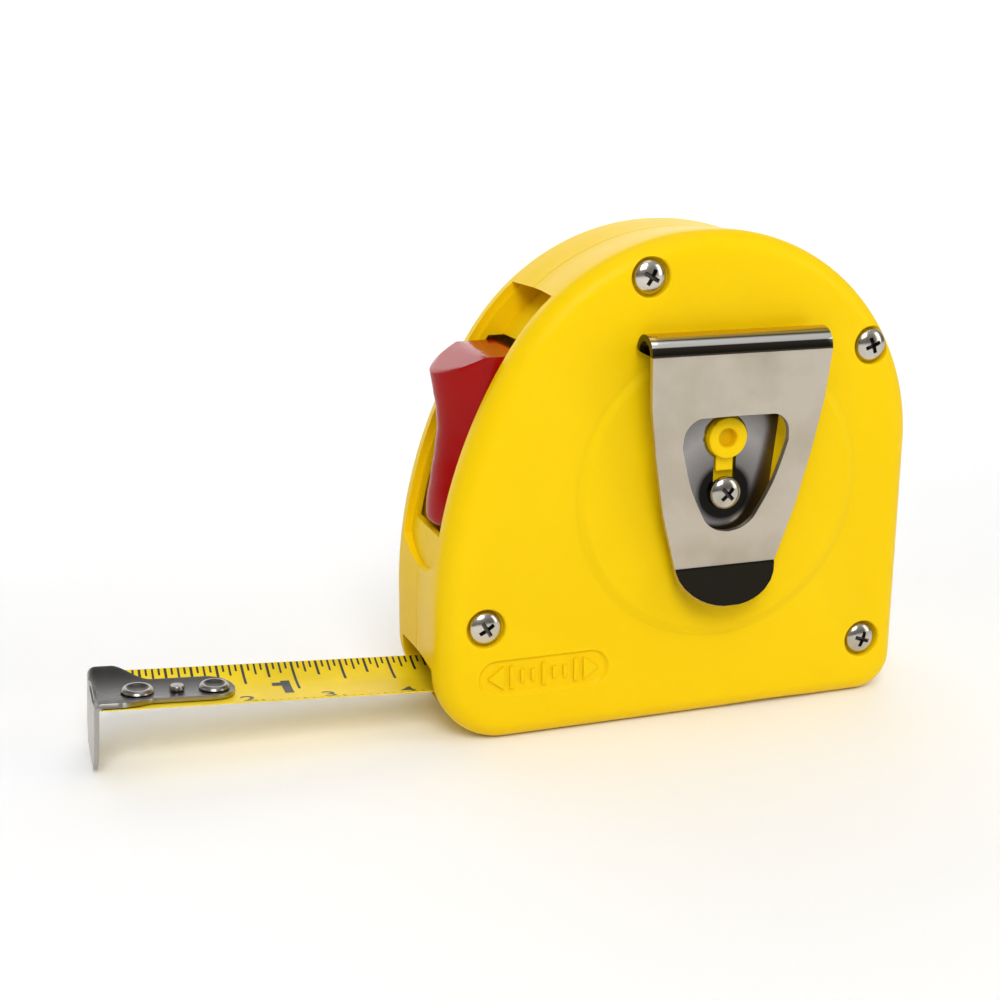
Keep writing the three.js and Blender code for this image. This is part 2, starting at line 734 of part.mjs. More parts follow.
const blade_group = new THREE.Group();
blade_group.position.set(0, 0, mouth_blade_height);
blade_group.rotation.y = blade_pitch;
blade_group.add(part('blade', straightBlade(), yellow, 0.4, 0));
blade_group.add(part('tape_hook', tapeHook(), 0x8d8a84, 0.4, 1));
for (const rivet of rivets) {
  blade_group.add(part(rivet.name, hookRivet(rivet.at, rivet.head), nickel, 0.35, 1));
}
group.add(blade_group);

group.add(part('lock_button', lockButton(), red, 0.25, 0));
group.add(part('brake_pad', brakePad(), black, 0.8, 0));
group.add(part('lock_pivot_pin', pivotPin(), steel, 0.35, 1));
group.add(part('detent_spring', detentSpring(), 0x8c8c8c, 0.35, 1));
group.add(part('mouth_pad', mouthPad(), black, 0.9, 0));
group.add(part('side_label', sideLabel(), 0xf2efe6, 0.5, 0));

export default group;
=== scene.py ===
# A pocket tape measure: yellow two-shell case, red rocker lock, folded belt clip, half-inch blade.
# Every shape is drawn in millimetres in case coordinates (x from the nose, z from the base, y from
# the blade's centre line) and turned into metres in the frame when its mesh is made.
import math

import bmesh
import bpy
from mathutils import Matrix, Vector


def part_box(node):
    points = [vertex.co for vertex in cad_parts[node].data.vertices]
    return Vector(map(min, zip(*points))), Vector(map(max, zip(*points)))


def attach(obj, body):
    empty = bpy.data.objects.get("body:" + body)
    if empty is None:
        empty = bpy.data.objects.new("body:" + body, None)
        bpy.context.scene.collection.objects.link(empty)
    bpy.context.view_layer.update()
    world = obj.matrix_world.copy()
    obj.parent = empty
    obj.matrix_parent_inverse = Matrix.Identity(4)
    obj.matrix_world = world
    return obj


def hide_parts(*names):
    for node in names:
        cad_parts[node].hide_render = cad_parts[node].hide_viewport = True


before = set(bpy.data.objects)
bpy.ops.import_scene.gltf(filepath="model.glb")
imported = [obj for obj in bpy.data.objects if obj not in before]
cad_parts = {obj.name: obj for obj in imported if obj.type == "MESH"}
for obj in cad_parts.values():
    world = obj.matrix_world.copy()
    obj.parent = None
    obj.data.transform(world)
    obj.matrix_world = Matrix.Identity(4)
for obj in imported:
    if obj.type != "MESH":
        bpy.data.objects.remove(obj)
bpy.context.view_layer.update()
MM = 0.001


# ---- sizes taken from the frame ----
def span(node):
    """A CAD node's lowest and highest corner, in millimetres of case coordinates."""
    low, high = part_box(node)
    return [(p - Vector((nose, 0, 0))) / MM for p in (low, high)]


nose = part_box("clip_side_shell")[0].x
shell_high = span("clip_side_shell")[1]
plain_high = span("plain_side_shell")[1]
LENGTH = shell_high.x
HEIGHT = shell_high.z
HALF = plain_high.y
spindle = (sum(span("spring_arbor"), Vector()) / 2).xz
pivot = (sum(span("lock_pivot_pin"), Vector()) / 2).xz
coil_low, coil_high = span("blade_coil")
COIL = (coil_high.x - coil_low.x) / 2
BLADE_HALF = coil_high.y

# ---- sizes of the case ----
FILLET = 2.8
WALL = 1.8
NOSE_TOP = 14.7
TOE = 8.6
REAR_CORNER = 5
REAR_ARCH = 28
TOP_ARCH = 29.5
TOP_FLAT = 0.7
PARTING = 0.8
SEAM = 0.03             # half the gap between the two shells
RIM_DISH = 0.38
PAD = (19.2, 0.4)
SLOT_HALF, SLOT_LOW, SLOT_HIGH = 6.7, 25.2, 54.6
TROUGH_LOW, TROUGH_DEPTH, TROUGH_WALL = 48, 3.4, 0.8
SCOOP_LOW, SCOOP_END, SCOOP_DEPTH = 20.4, 12, 1
MOUTH_LOW, MOUTH_HIGH = 3.2, 9.1
BADGE = {"x": 13.4, "z": 8.45, "length": 16.8, "height": 4.5, "depth": 0.4}
SCALLOP = {"x": 45, "depth": 0.7, "length": 20, "from_face": 3}
BORE, BORE_DEPTH = 2.45, 1.1
HEAD, HEAD_HEIGHT = 2.1, 1.3
SHANK, SCREW_POST = 0.95, 2.6
CASE_SCREW_LENGTH, CLIP_SCREW_LENGTH = 15, 12
LABEL = 20
ANCHOR_RISE = 7         # from the clip's screw up to the moulded post

rear_arch = (LENGTH - REAR_ARCH, HEIGHT - REAR_ARCH)
top_arch = (rear_arch[0] - TOP_FLAT, HEIGHT - TOP_ARCH)
rise = top_arch[1] - NOSE_TOP
FRONT_ARCH = (top_arch[0] ** 2 + rise ** 2 - TOP_ARCH ** 2) / (2 * (top_arch[0] - TOP_ARCH))
JOIN = math.atan2(rise, top_arch[0] - FRONT_ARCH)

# ---- sizes of the blade ----
PITCH = math.radians(3.84)
CAMBER = 1.2
BLADE_EDGE = 6.17
BLADE_OUT = 40.3
BLADE_TAIL = 13
BLADE_T = 0.15
INCH = 25.4
SCALE_ZERO = -40.5


# ---- mesh helpers ----
def place(x, y, z):
    return Vector((nose + x * MM, y * MM, z * MM))


def new_object(name, bm, smooth=35):
    bmesh.ops.recalc_face_normals(bm, faces=bm.faces)
    mesh = bpy.data.meshes.new(name)
    bm.to_mesh(mesh)
    bm.free()
    obj = bpy.data.objects.new(name, mesh)
    bpy.context.scene.collection.objects.link(obj)
    shade(obj, smooth)
    return obj


def shade(obj, angle):
    mesh = obj.data
    mesh.polygons.foreach_set("use_smooth", [True] * len(mesh.polygons))
    mesh.set_sharp_from_angle(angle=math.radians(angle))


def grid(name, rows, closed_u=False, caps=False, smooth=35):
    """A mesh over rows of points in case millimetres. closed_u joins each row's ends."""
    bm = bmesh.new()
    verts = [[bm.verts.new(place(*p)) for p in row] for row in rows]
    count = len(rows[0])
    last = count if closed_u else count - 1
    for a, b in zip(verts, verts[1:]):
        for i in range(last):
            j = (i + 1) % count
            bm.faces.new((a[i], a[j], b[j], b[i]))
    if caps:
        bm.faces.new(verts[0])
        bm.faces.new(verts[-1])
    return new_object(name, bm, smooth)


def arc(cx, cz, radius, start, end, count):
    return [(cx + radius * math.cos(start + (end - start) * i / count),
             cz + radius * math.sin(start + (end - start) * i / count)) for i in range(count + 1)]


def prism_y(name, points, y0, y1, smooth=35):
    return grid(name, [[(x, y, z) for x, z in points] for y in (y0, y1)], True, True, smooth)


def box_mesh(name, x0, x1, y0, y1, z0, z1, round_by=0.0):
    obj = prism_y(name, [(x0, z0), (x1, z0), (x1, z1), (x0, z1)], y0, y1)
    return bevelled(obj, round_by, 3) if round_by else obj


def lathe(name, profile, at, segments=64, smooth=35):
    """A closed body turned about a line along y through at (x, z). profile is (radius, y) pairs.
    A profile that ends where it starts makes a ring."""
    rows = []
    for radius, y in profile:
        reach = max(radius, 1e-4)
        rows.append([(at[0] + reach * math.cos(2 * math.pi * i / segments), y,
                      at[1] + reach * math.sin(2 * math.pi * i / segments)) for i in range(segments)])
    obj = grid(name, rows, True, profile[0] != profile[-1], smooth)
    merged(obj)
    shade(obj, smooth)
    return obj


def merged(obj, distance=2e-4):
    bm = bmesh.new()
    bm.from_mesh(obj.data)
    bmesh.ops.remove_doubles(bm, verts=bm.verts, dist=distance * MM)
    bmesh.ops.recalc_face_normals(bm, faces=bm.faces)
    bm.to_mesh(obj.data)
    bm.free()


def applied(obj, smooth=35):
    """Bakes the object's modifiers into its mesh."""
    depsgraph = bpy.context.evaluated_depsgraph_get()
    mesh = bpy.data.meshes.new_from_object(obj.evaluated_get(depsgraph))
    old = obj.data
    obj.modifiers.clear()
    obj.data = mesh
    bpy.data.meshes.remove(old)
    shade(obj, smooth)
    return obj


def cut(obj, *cutters, keep="DIFFERENCE", smooth=35):
    for cutter in cutters:
        modifier = obj.modifiers.new("cut", "BOOLEAN")
        modifier.operation = keep
        modifier.solver = "EXACT"
        modifier.object = cutter
        applied(obj, smooth)
        bpy.data.objects.remove(cutter)
    return obj


def bevelled(obj, width, segments=3, limit=40, smooth=35):
    modifier = obj.modifiers.new("edge", "BEVEL")
    modifier.width = width * MM
    modifier.segments = segments
    modifier.limit_method = "ANGLE"
    modifier.angle_limit = math.radians(limit)
    modifier.harden_normals = False
    return applied(obj, smooth)


def joined(name, parts, smooth=35):
    """One object out of several, under the given name."""
    bm = bmesh.new()
    for part in parts:
        bm.from_mesh(part.data)
        bpy.data.objects.remove(part)
    return new_object(name, bm, smooth)


def smooth_curve(points, per=6):
    """A Catmull-Rom curve through the points, ends included."""
    padded = [points[0], *points, points[-1]]
    out = []
    for a, b, c, d in zip(padded, padded[1:], padded[2:], padded[3:]):
        for i in range(per):
            t = i / per
            out.append(tuple(
                0.5 * (2 * q + (r - p) * t + (2 * p - 5 * q + 4 * r - s) * t * t
                       + (3 * q - p - 3 * r + s) * t ** 3)
                for p, q, r, s in zip(a, b, c, d)))
    return [*out, points[-1]]


def ease(t):
    t = min(1.0, max(0.0, t))
    return t * t * (3 - 2 * t)


def shown(obj, body, material, slot, *nodes):
    """Puts a finished piece on its body, with its material, in place of CAD nodes."""
    obj.data.materials.clear()
    obj.data.materials.append(material)
    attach(obj, body)
    if nodes:
        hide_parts(*nodes)
    return obj


# ---- materials ----
def node_material(name, color, roughness, metallic=0.0, **sockets):
    material = bpy.data.materials.new(name)
    material.use_nodes = True
    shader = material.node_tree.nodes["Principled BSDF"]
    shader.inputs["Base Color"].default_value = (*color, 1)
    shader.inputs["Roughness"].default_value = roughness
    shader.inputs["Metallic"].default_value = metallic
    for socket, value in sockets.items():
        shader.inputs[socket.replace("_", " ")].default_value = value
    return material


def add(material, kind, **values):
    node = material.node_tree.nodes.new(kind)
    for key, value in values.items():
        if hasattr(node, key):
            setattr(node, key, value)
        else:
            node.inputs[key].default_value = value
    return node


def link(material, source, output, target, socket):
    material.node_tree.links.new(source.outputs[output], target.inputs[socket])


def noise(material, scale, detail=4, stretch=(1, 1, 1)):
    """Noise in object space, in features per metre."""
    where = add(material, "ShaderNodeTexCoord")
    mapping = add(material, "ShaderNodeMapping")
    mapping.inputs["Scale"].default_value = stretch
    texture = add(material, "ShaderNodeTexNoise", Scale=scale, Detail=detail)
    link(material, where, "Object", mapping, "Vector")
    link(material, mapping, "Vector", texture, "Vector")
    return texture


def vary_color(material, texture, dark, light, low=0.3, high=0.7):
    ramp = add(material, "ShaderNodeValToRGB")
    ramp.color_ramp.elements[0].position = low
    ramp.color_ramp.elements[0].color = (*dark, 1)
    ramp.color_ramp.elements[1].position = high
    ramp.color_ramp.elements[1].color = (*light, 1)
    link(material, texture, "Fac", ramp, "Fac")
    link(material, ramp, "Color", material.node_tree.nodes["Principled BSDF"], "Base Color")


def vary_roughness(material, texture, low, high):
    spread = add(material, "ShaderNodeMapRange")
    spread.inputs["To Min"].default_value = low
    spread.inputs["To Max"].default_value = high
    link(material, texture, "Fac", spread, "Value")
    link(material, spread, "Result", material.node_tree.nodes["Principled BSDF"], "Roughness")


def bump(material, texture, strength, distance):
    node = add(material, "ShaderNodeBump", Strength=strength, Distance=distance)
    link(material, texture, "Fac", node, "Height")
    link(material, node, "Normal", material.node_tree.nodes["Principled BSDF"], "Normal")


def yellow_plastic():
    m = node_material("case_yellow", (0.88, 0.59, 0.002), 0.36, Specular_IOR_Level=0.07)
    m.node_tree.nodes["Principled BSDF"].inputs["Subsurface Weight"].default_value = 0.08
    m.node_tree.nodes["Principled BSDF"].inputs["Subsurface Radius"].default_value = (0.002, 0.001, 0.0002)
    m.node_tree.nodes["Principled BSDF"].inputs["Subsurface Scale"].default_value = 0.5
    broad = noise(m, 45, 3)
    vary_color(m, broad, (0.865, 0.57, 0.0015), (0.895, 0.60, 0.003))
    vary_roughness(m, noise(m, 700, 6), 0.29, 0.40)
    bump(m, noise(m, 1500, 4), 0.12, 0.00006)
    return m


def red_plastic():
    m = node_material("lock_red", (0.36, 0.005, 0.004), 0.2,
                      Specular_IOR_Level=0.10, Coat_Weight=0.03, Coat_Roughness=0.08)
    vary_color(m, noise(m, 90, 3), (0.32, 0.004, 0.003), (0.40, 0.006, 0.005))
    vary_roughness(m, noise(m, 900, 5), 0.13, 0.22)
    bump(m, noise(m, 420, 3), 0.08, 0.0001)
    return m


def steel(name, dark, light, rough, grain=(1, 1, 1), scale=900, depth=0.05):
    m = node_material(name, light, rough[0], 1.0)
    texture = noise(m, scale, 6, grain)
    vary_color(m, noise(m, 160, 5), dark, light, 0.25, 0.6)
    vary_roughness(m, texture, *rough)
    bump(m, texture, depth, 0.00004)
    return m


def ramp_of(material, source, output, stops):
    """A colour ramp over a value, as the base colour."""
    ramp = add(material, "ShaderNodeValToRGB")
    elements = ramp.color_ramp.elements
    while len(elements) < len(stops):
        elements.new(0.5)
    for element, (position, color) in zip(elements, stops):
        element.position = position
        element.color = (*color, 1)
    link(material, source, output, ramp, "Fac")
    link(material, ramp, "Color", material.node_tree.nodes["Principled BSDF"], "Base Color")


def polished_steel():
    """The polished fold and tip with painted reflections by facing: near black where they face forward, white
    above that, yellow where they face up.
    """
    m = node_material("clip_polished_painted_reflection", (0.5, 0.5, 0.5), 0.14, 1.0)
    where = add(m, "ShaderNodeTexCoord")
    axes = add(m, "ShaderNodeSeparateXYZ")
    link(m, where, "Normal", axes, "Vector")
    # Painted reflections: near black facing forward and down, a white band, a dark line, then the yellow of
    # the case where they face up.
    dark_reflection_paint, white_reflection_paint, yellow_reflection_paint = (0.055, 0.048, 0.035), (0.92, 0.90, 0.86), (0.62, 0.45, 0.10)
    line = (0.06, 0.05, 0.03)
    ramp_of(m, axes, "Z", [(0.0, dark_reflection_paint), (0.44, dark_reflection_paint), (0.48, white_reflection_paint), (0.68, white_reflection_paint),
                           (0.75, line), (0.84, yellow_reflection_paint), (1.0, yellow_reflection_paint)])
    vary_roughness(m, noise(m, 900, 5, (1, 1, 6)), 0.10, 0.20)
    bump(m, noise(m, 260, 3, (3, 1, 1)), 0.05, 0.00008)
    return m


def back_steel():
    """The leaf against the case, with a painted dark reflection in a ring round its screw and painted shadow
    from the fold further out, lighter between.
    """
    m = node_material("clip_back", (0.4, 0.4, 0.4), 0.22, 1.0)
    where = add(m, "ShaderNodeTexCoord")
    centre = place(spindle.x, 0, spindle.y)
    shifted = add(m, "ShaderNodeMapping")
    shifted.inputs["Location"].default_value = (-centre.x, 0, -centre.z)
    flat = add(m, "ShaderNodeVectorMath", operation="MULTIPLY")
    flat.inputs[1].default_value = (1, 0, 1)
    length = add(m, "ShaderNodeVectorMath", operation="LENGTH")
    spread = add(m, "ShaderNodeMapRange")
    spread.inputs["From Max"].default_value = 0.012
    link(m, where, "Object", shifted, "Vector")
    m.node_tree.links.new(shifted.outputs["Vector"], flat.inputs[0])
    m.node_tree.links.new(flat.outputs["Vector"], length.inputs[0])
    link(m, length, "Value", spread, "Value")
    # Painted light by distance from the screw: a painted dark reflection in the ring, lit steel between,
    # painted shadow under the fold beyond 12 mm.
    dark, mid, light = (0.012, 0.011, 0.01), (0.17, 0.16, 0.155), (0.32, 0.30, 0.285)
    ramp_of(m, spread, "Result", [(0.0, dark), (0.27, dark), (0.33, mid),
                                  (0.62, light), (0.85, mid), (1.0, dark)])
    vary_roughness(m, noise(m, 900, 5), 0.16, 0.28)
    return m


def worn_steel():
    """Hook steel with painted shade where the plate lies flat and painted highlight on the bend and leg,
    varied by noise.
    """
    m = node_material("hook_painted_shade", (0.30, 0.28, 0.26), 0.36, 1.0)
    where = add(m, "ShaderNodeTexCoord")
    axes = add(m, "ShaderNodeSeparateXYZ")
    mixed = add(m, "ShaderNodeMath", operation="MULTIPLY_ADD")
    mixed.inputs[1].default_value = 0.35
    link(m, where, "Normal", axes, "Vector")
    link(m, noise(m, 260, 6, (1, 3, 1)), "Fac", mixed, 0)
    link(m, axes, "Z", mixed, 2)
    # Painted light by facing: leg and bend are painted highlight, plate and flat are painted shade.
    leg, bend = (0.42, 0.40, 0.37), (0.36, 0.34, 0.31)
    plate, flat = (0.10, 0.094, 0.086), (0.055, 0.052, 0.048)
    ramp_of(m, mixed, "Value", [(0.0, leg), (0.55, bend), (0.85, plate), (1.0, flat)])
    vary_roughness(m, noise(m, 800, 6), 0.22, 0.38)
    bump(m, noise(m, 1100, 6), 0.22, 0.00005)
    return m


def matt(name, color, rough, scale=800, depth=0.1, spread=0.12):
    m = node_material(name, color, rough)
    texture = noise(m, scale, 5)
    dark = tuple(c * (1 - spread) for c in color)
    light = tuple(min(1, c * (1 + spread)) for c in color)
    vary_color(m, texture, dark, light)
    vary_roughness(m, noise(m, scale * 0.6, 4), rough - 0.06, rough + 0.06)
    bump(m, texture, depth, 0.00005)
    return m


def blade_enamel():
    m = node_material("blade_enamel", (0.83, 0.60, 0.006), 0.42, Specular_IOR_Level=0.12)
    vary_color(m, noise(m, 130, 6), (0.76, 0.55, 0.004), (0.87, 0.64, 0.010), 0.3, 0.65)
    vary_roughness(m, noise(m, 900, 5), 0.32, 0.46)
    bump(m, noise(m, 900, 3), 0.08, 0.00004)
    return m


CASE = yellow_plastic()
LOCK = red_plastic()
CLIP = steel("clip_satin", (0.44, 0.39, 0.30), (0.56, 0.50, 0.41), (0.34, 0.46), (1, 1, 14), 1500, 0.10)
PAINTED_REFLECTION_STEEL = polished_steel()
BACK_LEAF = back_steel()
NICKEL = steel("screw_nickel", (0.30, 0.28, 0.24), (0.60, 0.56, 0.49), (0.12, 0.24), scale=1200)
# Near-black steel as painted shade in the screw recesses and the sunk rivet middles.
RECESS_PAINTED_SHADE = steel("screw_recess_painted_shade", (0.05, 0.045, 0.04), (0.12, 0.11, 0.10), (0.35, 0.5))
HOOK = worn_steel()
RIVET = steel("rivet_steel", (0.14, 0.13, 0.12), (0.34, 0.32, 0.29), (0.18, 0.30), scale=1200)
INNER = steel("inner_steel", (0.30, 0.30, 0.30), (0.42, 0.42, 0.43), (0.3, 0.42))
RUBBER = matt("rubber", (0.03, 0.03, 0.03), 0.8)
NYLON = matt("drum_nylon", (0.035, 0.035, 0.038), 0.5)
DISC = matt("disc_nylon", (0.72, 0.70, 0.64), 0.5)
ENAMEL = blade_enamel()
INK = matt("scale_ink", (0.012, 0.012, 0.011), 0.45, 1200, 0.05)
FILM = matt("label_film", (0.74, 0.72, 0.66), 0.42, 90, 0.02, 0.03)


# ---- case outline ----
def outline(inset):
    """The D-shaped side view with the same number of points at every inset."""
    quarter = math.pi / 2
    rear_x, rear_z = LENGTH - REAR_CORNER, REAR_CORNER
    wall = [(LENGTH - inset, rear_z + (rear_arch[1] - rear_z) * i / 16) for i in range(1, 16)]
    front = [(inset, NOSE_TOP + (TOE - NOSE_TOP) * i / 5) for i in range(1, 5)]
    base = [(TOE + (rear_x - TOE) * i / 30, inset) for i in range(1, 30)]
    return [
        *arc(rear_x, rear_z, REAR_CORNER - inset, -quarter, 0, 14),
        *wall,
        *arc(*rear_arch, REAR_ARCH - inset, 0, quarter, 70)[:-1],
        *arc(*top_arch, TOP_ARCH - inset, quarter, JOIN, 40),
        *arc(FRONT_ARCH, NOSE_TOP, FRONT_ARCH - inset, JOIN, math.pi, 40)[1:],
        *front,
        *arc(TOE, TOE, TOE - inset, math.pi, 1.5 * math.pi, 22),
        *base,
    ]


def arch_point(centre, radius, edge, degrees):
    angle = math.radians(degrees)
    return (centre[0] + (radius - edge) * math.cos(angle), centre[1] + (radius - edge) * math.sin(angle))


SCREWS = [
    arch_point(top_arch, TOP_ARCH, 3.8, 109),
    arch_point(rear_arch, REAR_ARCH, 2.9, 31.5),
    (LENGTH - 5.4, 7.8),
    (5.9, 15.1),
]


# ---- case shells ----
def shell_rows(side):
    """Rows of the outer skin from the parting line to the side face."""
    lip = 0.07
    start = PARTING + (SEAM if side > 0 else -SEAM)
    edge = HALF - FILLET
    stations = [(start, lip), (start + side * lip * 0.4, lip * 0.35), (start + side * lip, 0)]
    rim_end = side * edge
    rim_start = start + side * lip
    stations += [(rim_start + (rim_end - rim_start) * i / 14, 0) for i in range(1, 15)]
    for i in range(1, 13):
        turn = math.pi / 2 * i / 12
        stations.append((side * (edge + FILLET * math.sin(turn)), FILLET * (1 - math.cos(turn))))
    rows = []
    for y, inset in stations:
        dip = RIM_DISH * 0.5 * (1 + math.cos(math.pi * min(1, abs(y) / edge)))
        plain, sunk = outline(inset), outline(inset + dip)
        row = []
        for (x0, z0), (x1, z1) in zip(plain, sunk):
            part = ease((z0 - 3) / 10)
            row.append((x0 + (x1 - x0) * part, y, z0 + (z1 - z0) * part))
        rows.append(row)
    return rows


def face_inset_rows(side):
    """Rows that carry on over the flat side face towards its middle."""
    y = side * HALF
    return [[(x, y, z) for x, z in outline(FILLET + step)] for step in (0.25, 0.8)]


def counterbore(at):
    y = -HALF
    lip = 0.3
    profile = [(BORE + lip + 0.5, y - 0.5), (BORE + lip, y - 0.001)]
    profile += [(BORE + lip * (1 - math.sin(t)), y + lip * (1 - math.cos(t)))
                for t in (math.pi / 8, math.pi / 4, 3 * math.pi / 8, math.pi / 2)]
    profile += [(BORE - 0.05, y + BORE_DEPTH - 0.15), (BORE - 0.2, y + BORE_DEPTH), (1.1, y + BORE_DEPTH),
                (1.1, y + 6)]
    return lathe("bore", profile, at, 48)


def rounded_slot(cx, cz, length, height, inset, count=14):
    r = height / 2 - inset
    reach = length / 2 - height / 2
    return [*arc(cx + reach, cz, r, -math.pi / 2, math.pi / 2, count),
            *arc(cx - reach, cz, r, math.pi / 2, 1.5 * math.pi, count)]


def badge_recess():
    y = -HALF
    levels = [(-0.5, -0.32), (0, -0.18), (0.1, -0.06), (0.25, 0), (BADGE["depth"] - 0.1, 0.06),
              (BADGE["depth"], 0.22)]
    rows = [[(x, y + depth, z) for x, z in
             rounded_slot(BADGE["x"], BADGE["z"], BADGE["length"], BADGE["height"], inset)]
            for depth, inset in levels]
    return grid("recess", rows, True, True)


def lock_scoop(half_width):
    """The shallow cut round the lock: round at its lower end, ending at the slot's upper end."""
    sweep = math.asin(min(1, half_width / SCOOP_END))
    quarter = math.pi / 2
    w = half_width
    track = [*arc(0, SCOOP_LOW + SCOOP_END, SCOOP_END, 3 * quarter - sweep, 3 * quarter + sweep, 16),
             (w, SLOT_HIGH), (-w, SLOT_HIGH)]
    bar = grid("track", [[(x, y, z) for y, z in track] for x in (-5, top_arch[0] - 10)], True, True)
    return cut(bar, prism_y("core", outline(SCOOP_DEPTH), -20, 20))


def edge_scallop(side):
    radius = SCALLOP["length"] ** 2 / (8 * SCALLOP["depth"])
    sweep = math.asin(SCALLOP["length"] / 2 / radius)
    x = SCALLOP["x"]
    points = [(x - SCALLOP["length"] / 2, -8), (x + SCALLOP["length"] / 2, -8),
              *arc(x, SCALLOP["depth"] - radius, radius, math.pi / 2 - sweep, math.pi / 2 + sweep, 30)]
    outer, inner = side * (HALF + 1), side * (HALF - SCALLOP["from_face"])
    return prism_y("scallop", points, min(outer, inner), max(outer, inner))


def slot_trough(side):
    """The walls and floor that close the upper end of the slot, as far as the parting line."""
    reach = SLOT_HALF + TROUGH_WALL
    y0, y1 = sorted((PARTING + side * SEAM, side * reach))
    core = prism_y("core", outline(TROUGH_DEPTH + TROUGH_WALL), -20, 20)
    band = cut(prism_y("band", outline(0.5), y0, y1), core)
    end = box_mesh("end", 2, 24, -20, 20, TROUGH_LOW, SLOT_HIGH + TROUGH_WALL)
    return cut(band, end, keep="INTERSECT")


def lock_slot():
    """The slot in two cutters: right through at the lock, shallow over the trough."""
    w = SLOT_HALF
    deep = box_mesh("slot", -3, 22, -w, w, SLOT_LOW, TROUGH_LOW + 0.1)
    shallow = box_mesh("slot", -3, 22, -w, w, TROUGH_LOW, SLOT_HIGH)
    cut(shallow, prism_y("core", outline(TROUGH_DEPTH), -20, 20))
    return deep, shallow


def shell(side):
    rows = shell_rows(side) + face_inset_rows(side)
    body = grid("shell", rows, True, True)
    inner = [[(x, y, z) for x, z in outline(WALL + inset)] for y, inset in
             ((PARTING - side * 1, 0), (side * (HALF - WALL - 1.2), 0), (side * (HALF - WALL - 0.4), 0.4),
              (side * (HALF - WALL), 1.2))]
    cut(body, grid("hollow", inner, True, True))
    for at in SCREWS:
        post = lathe("post", [(SCREW_POST, PARTING + side * SEAM), (SCREW_POST, side * (HALF - WALL + 0.2))],
                     at, 24)
        cut(body, post, keep="UNION")
        if side < 0:
            cut(body, counterbore(at))
    cut(body, slot_trough(side), keep="UNION")
    cut(body, edge_scallop(side))
    cut(body, lock_scoop(SLOT_HALF + 0.5))
    cut(body, *lock_slot())
    cut(body, box_mesh("mouth", -3, TOE, -7, 7, MOUTH_LOW, MOUTH_HIGH, 0.6))
    return body


def raised_marks():
    """Two arrowheads and a short row of scale strokes standing in the badge."""
    y0, y1 = -HALF + BADGE["depth"] + 0.05, -HALF + 0.06
    parts = []
    for side in (-1, 1):
        tip = BADGE["x"] + side * 7.3
        heel = tip - side * 2.1
        arrow = [(tip, BADGE["z"]), (heel, BADGE["z"] + 1.5), (heel, BADGE["z"] - 1.5)]
        parts.append(bevelled(prism_y("arrow", arrow, y1, y0), 0.09, 2))
    for k in range(7):
        x = BADGE["x"] - 4.2 + 1.4 * k
        reach = 1.45 if k % 3 == 0 else 0.8
        low, high = BADGE["z"] - reach, BADGE["z"] + reach
        parts.append(box_mesh("stroke", x - 0.27, x + 0.27, y1, y0, low, high, 0.09))
    return parts


def side_pad():
    radius, height = PAD
    y = -HALF
    slope = 1.6
    flank = [(radius - slope + slope * t, y - height * (1 - ease(t))) for t in [i / 12 for i in range(12)]]
    return lathe("pad", [(0, y - height), (radius * 0.5, y - height), *flank, (radius, y + 0.02),
                         (0, y + 0.02)], spindle, 160)


def anchor_boss():
    """The moulded post in the clip's keyhole and the rib that runs from it to the screw."""
    face = -HALF - PAD[1]
    centre = (spindle.x, spindle.y + ANCHOR_RISE)
    top = face - 1.7
    post = lathe("post", [(1.2, face), (1.2, top + 0.25), (1.32, top + 0.08), (1.5, top), (2.3, top),
                          (2.5, top + 0.08), (2.6, top + 0.3), (2.6, face + 0.2), (1.2, face + 0.2)],
                 centre, 56)
    floor = lathe("floor", [(0, face - 0.2), (1.3, face - 0.2), (1.3, face + 0.2), (0, face + 0.2)],
                  centre, 32)
    rib = box_mesh("rib", spindle.x - 1.15, spindle.x + 1.15, face - 0.78, face + 0.2,
                   spindle.y + HEAD + 0.65, centre[1] - 1.4, 0.12)
    return [post, floor, rib]


def clip_side():
    body = cut(shell(-1), badge_recess())
    piece = joined("case_clip_side", [body, side_pad(), *anchor_boss(), *raised_marks()], 32)
    shown(piece, "case", CASE, "case_plastic", "clip_side_shell")


def plain_side():
    body = shell(1)
    ring = lathe("recess", [(LABEL + 0.5, HALF + 0.5), (LABEL + 0.3, HALF - 0.15), (LABEL + 0.2, HALF - 0.4),
                            (0, HALF - 0.4), (0, HALF + 0.5)], spindle, 160)
    piece = cut(body, ring, smooth=32)
    piece.name = "case_plain_side"
    shown(piece, "case", CASE, "case_plastic", "plain_side_shell")


